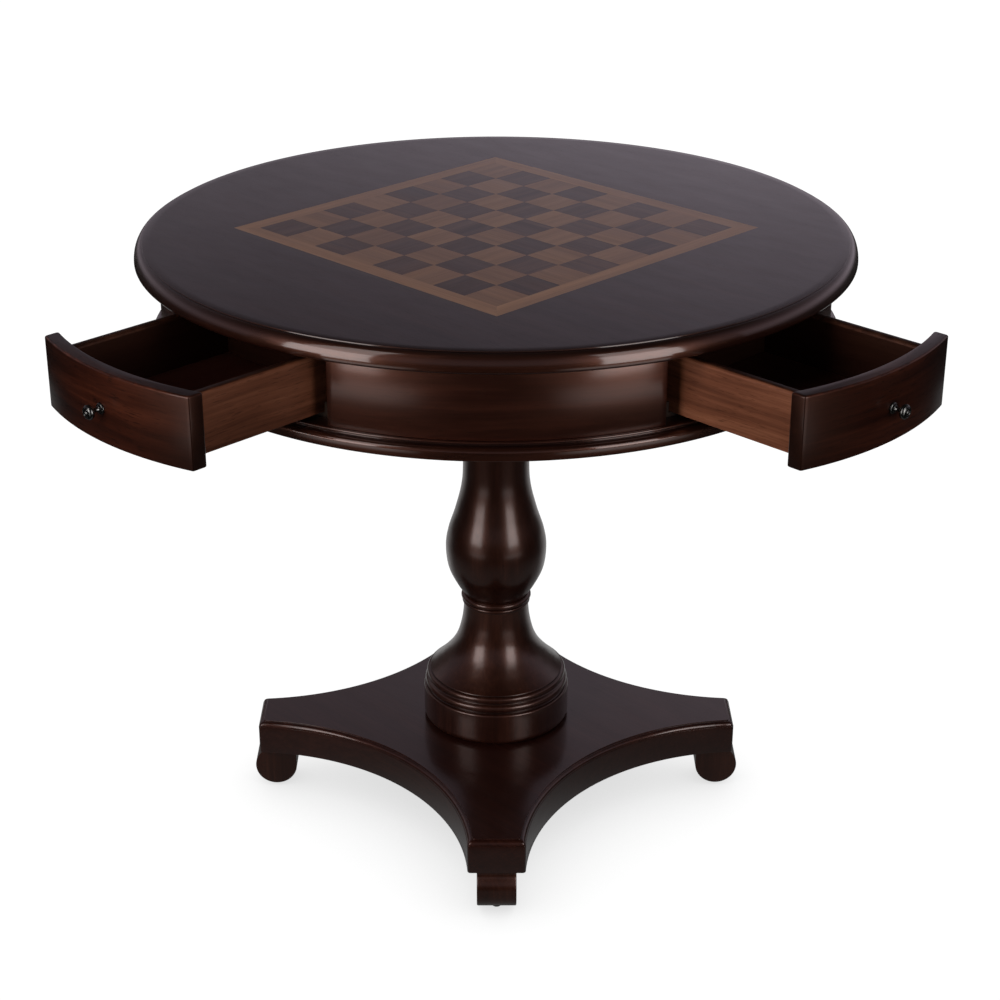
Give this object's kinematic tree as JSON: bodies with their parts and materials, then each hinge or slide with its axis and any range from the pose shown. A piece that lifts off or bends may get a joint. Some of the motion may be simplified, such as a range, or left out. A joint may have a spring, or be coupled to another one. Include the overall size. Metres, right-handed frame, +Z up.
{
  "type": "gaming table",
  "caption": "Round pedestal gaming table with an inlaid chessboard top, curved drawers in a drum apron, a turned column and a concave-sided base on scroll feet.",
  "frame": {"origin": "Middle of the object's footprint at floor level, with two drawers standing open. The column's axis is vertical at x = -0.08445 m, y = 0.08445 m.", "axes": "+Z up from the floor. +X and -Y are the ways the two open drawers slide out; -X and +Y are the shut ones. The four arms of the base lie on the diagonals."},
  "size_m": [1.029, 1.029, 0.7687],
  "materials": {
    "stained_hardwood": "dark cherry stain under satin lacquer",
    "inlay_veneer": "light and dark veneer squares with a light border, satin lacquer",
    "drawer_side_wood": "reddish-brown sealed wood, matt",
    "drawer_floor_wood": "dark stained plywood, matt",
    "carcass_wood": "unpolished hidden wood",
    "dark_metal_knob": "dark pewter plating",
    "plated_steel": "bright zinc plating",
    "glide_plastic": "moulded"
  },
  "bodies": {
    "table": {"top_panel": "stained_hardwood", "chessboard_inlay": "inlay_veneer", "apron_panel_front": "stained_hardwood", "apron_panel_right": "stained_hardwood", "apron_panel_back": "stained_hardwood", "apron_panel_left": "stained_hardwood", "lower_ring_moulding": "stained_hardwood", "case_floor_board": "carcass_wood", "centre_block": "carcass_wood", "right_drawer_guide_left": "carcass_wood", "right_drawer_guide_right": "carcass_wood", "front_drawer_guide_left": "carcass_wood", "front_drawer_guide_right": "carcass_wood", "left_drawer_guide_left": "carcass_wood", "left_drawer_guide_right": "carcass_wood", "back_drawer_guide_left": "carcass_wood", "back_drawer_guide_right": "carcass_wood", "column_mounting_plate": "carcass_wood", "column_vase": "stained_hardwood", "column_neck_ring": "stained_hardwood", "column_bell": "stained_hardwood", "tie_rod": "plated_steel", "tie_rod_upper_nut": "plated_steel", "tie_rod_lower_nut": "plated_steel", "base_platform": "stained_hardwood", "scroll_foot_1": "stained_hardwood", "scroll_foot_2": "stained_hardwood", "scroll_foot_3": "stained_hardwood", "scroll_foot_4": "stained_hardwood", "floor_glide_1": "glide_plastic", "floor_glide_2": "glide_plastic", "floor_glide_3": "glide_plastic", "floor_glide_4": "glide_plastic"},
    "right_drawer": {"right_drawer_front": "stained_hardwood", "right_drawer_side_left": "drawer_side_wood", "right_drawer_side_right": "drawer_side_wood", "right_drawer_back": "drawer_side_wood", "right_drawer_floor": "drawer_floor_wood", "right_drawer_knob": "dark_metal_knob"},
    "front_drawer": {"front_drawer_front": "stained_hardwood", "front_drawer_side_left": "drawer_side_wood", "front_drawer_side_right": "drawer_side_wood", "front_drawer_back": "drawer_side_wood", "front_drawer_floor": "drawer_floor_wood", "front_drawer_knob": "dark_metal_knob"},
    "left_drawer": {"left_drawer_front": "stained_hardwood", "left_drawer_side_left": "drawer_side_wood", "left_drawer_side_right": "drawer_side_wood", "left_drawer_back": "drawer_side_wood", "left_drawer_floor": "drawer_floor_wood", "left_drawer_knob": "dark_metal_knob"},
    "back_drawer": {"back_drawer_front": "stained_hardwood", "back_drawer_side_left": "drawer_side_wood", "back_drawer_side_right": "drawer_side_wood", "back_drawer_back": "drawer_side_wood", "back_drawer_floor": "drawer_floor_wood", "back_drawer_knob": "dark_metal_knob"}
  },
  "joints": [
    {"name": "right_drawer_slide", "type": "slide", "parent": "table", "child": "right_drawer", "axis": [1, 0, 0], "range_m": [-0.1764, 0.0136]},
    {"name": "front_drawer_slide", "type": "slide", "parent": "table", "child": "front_drawer", "axis": [0, -1, 0], "range_m": [-0.1764, 0.0136]},
    {"name": "left_drawer_slide", "type": "slide", "parent": "table", "child": "left_drawer", "axis": [-1, 0, 0], "range_m": [0, 0.19]},
    {"name": "back_drawer_slide", "type": "slide", "parent": "table", "child": "back_drawer", "axis": [0, 1, 0], "range_m": [0, 0.19]}
  ]
}
